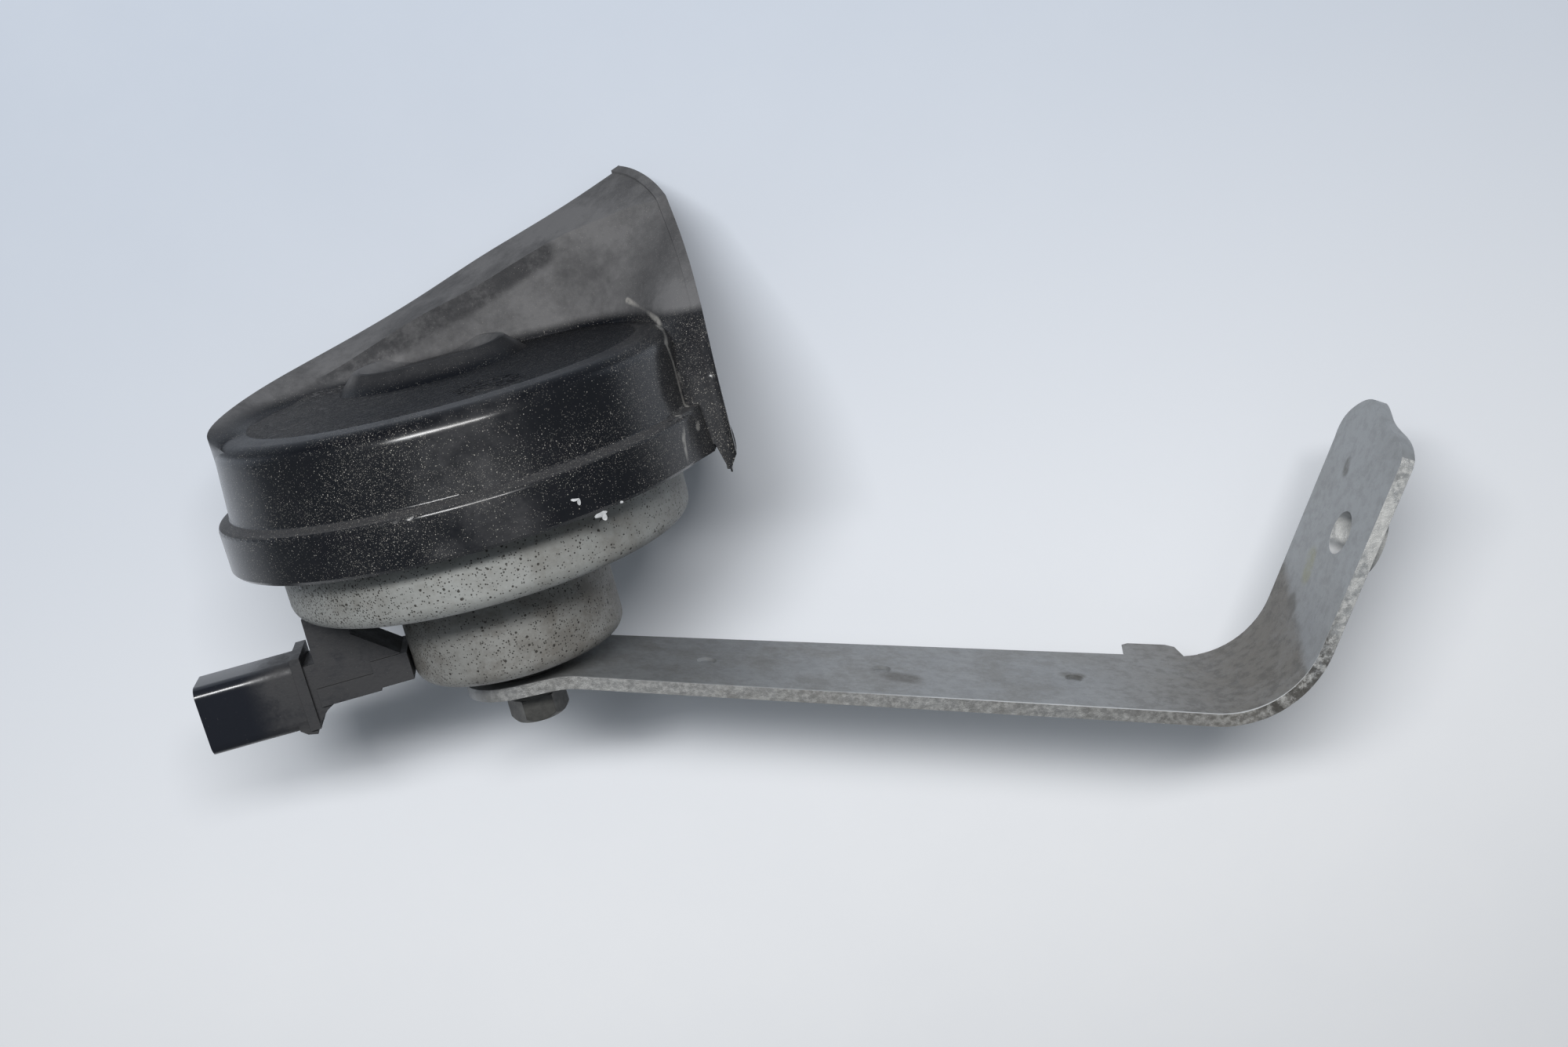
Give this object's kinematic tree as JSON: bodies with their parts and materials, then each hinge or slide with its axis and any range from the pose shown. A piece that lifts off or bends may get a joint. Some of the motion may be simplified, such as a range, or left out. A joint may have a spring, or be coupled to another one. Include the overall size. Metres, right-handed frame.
{
  "type": "car horn",
  "caption": "Snail-type electric car horn: black moulded spiral trumpet on a plated steel pan, with a two-pin connector and a bent strip bracket.",
  "frame": {"origin": "centre of the bracket's mounting hole, on the arm's inner face, the one that meets the vehicle", "axes": "+X along the bracket from the horn to the mounting hole, +Y along the horn axis towards the trumpet, +Z towards the side with the front wall of the mouth"},
  "size_m": [0.2315, 0.124, 0.0926],
  "materials": {
    "black_housing": "black moulded plastic with a film of grey dust",
    "connector_black": "glossy black moulded plastic",
    "pan_zinc": "zinc-plated steel, dull and speckled",
    "bracket_zinc": "zinc-plated steel strip, dull, with brown staining at the bend",
    "dark_steel": "dark plated steel",
    "bare_steel": "plain machined steel",
    "spring_steel": "rolled spring steel",
    "gasket": "dark fibre gasket",
    "bobbin_plastic": "tan phenolic plastic",
    "copper_wire": "enamelled copper wire",
    "terminal_brass": "tinned brass",
    "contact_silver": "contact metal",
    "resistor_body": "lacquered resistor body"
  },
  "bodies": {
    "root": {"adjusting_screw": "bare_steel", "armature": "bare_steel", "armature_nut": "bare_steel", "armature_washer_lower": "bare_steel", "armature_washer_upper": "bare_steel", "bracket": "bracket_zinc", "breaker_rivets": "terminal_brass", "coil_bobbin": "bobbin_plastic", "coil_winding": "copper_wire", "connector_gasket": "gasket", "connector_housing": "connector_black", "connector_rivets": "bare_steel", "contact_insulators": "bobbin_plastic", "contact_points": "contact_silver", "contact_spring": "spring_steel", "crimp_ring": "pan_zinc", "diaphragm": "spring_steel", "fixed_contact_arm": "spring_steel", "fixing_bolt": "dark_steel", "housing_pan": "pan_zinc", "lower_gasket": "gasket", "plain_washer": "dark_steel", "pole_core": "bare_steel", "pole_plate": "bare_steel", "spacer_washer": "dark_steel", "spring_washer": "dark_steel", "suppression_resistor": "resistor_body", "terminal_lower": "terminal_brass", "terminal_upper": "terminal_brass", "trumpet_base": "black_housing", "trumpet_cover": "black_housing", "upper_gasket": "gasket"}
  },
  "joints": []
}
